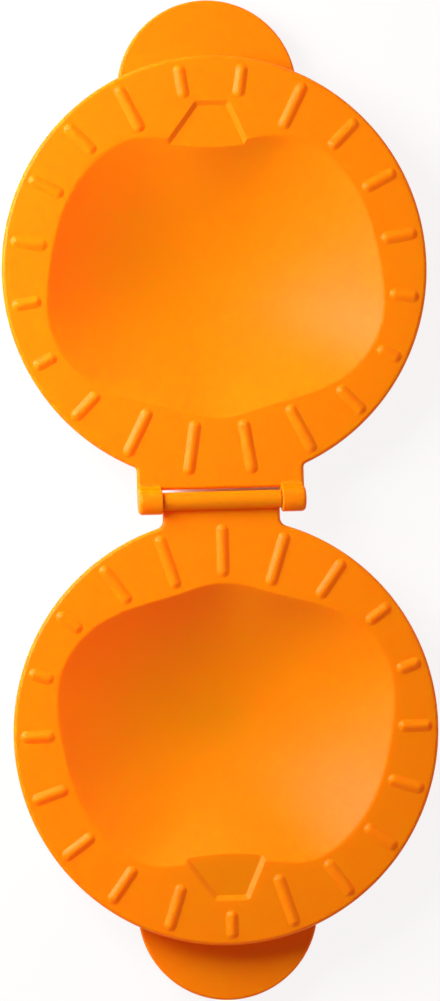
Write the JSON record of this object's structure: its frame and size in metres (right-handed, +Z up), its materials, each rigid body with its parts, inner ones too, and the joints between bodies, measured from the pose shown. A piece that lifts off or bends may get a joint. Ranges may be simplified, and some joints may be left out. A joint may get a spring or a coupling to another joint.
{
  "type": "empanada press",
  "caption": "Hinged press with two apple-shaped moulding cups, crimping ribs round both flanges and a dropped finger tab on each half; folds shut to seal a filled pastry.",
  "frame": {"origin": "on the table, straight below the middle of the hinge, with the press lying open and both cups facing up", "axes": "+X along the hinge pin, +Y from the hinge to the upper half, +Z up out of the cups"},
  "size_m": [0.1066, 0.25, 0.0184],
  "materials": {
    "moulding": "satin orange polypropylene with a fine moulded texture",
    "pin": "drawn stainless wire"
  },
  "bodies": {
    "lower": {"lower_half": "moulding"},
    "upper": {"upper_half": "moulding", "hinge_pin": "pin"}
  },
  "joints": [
    {"name": "hinge", "type": "hinge", "parent": "lower", "child": "upper", "pos_m": [0, 0, 0.0152], "axis": [1, 0, 0], "range_deg": [0, 180]}
  ]
}
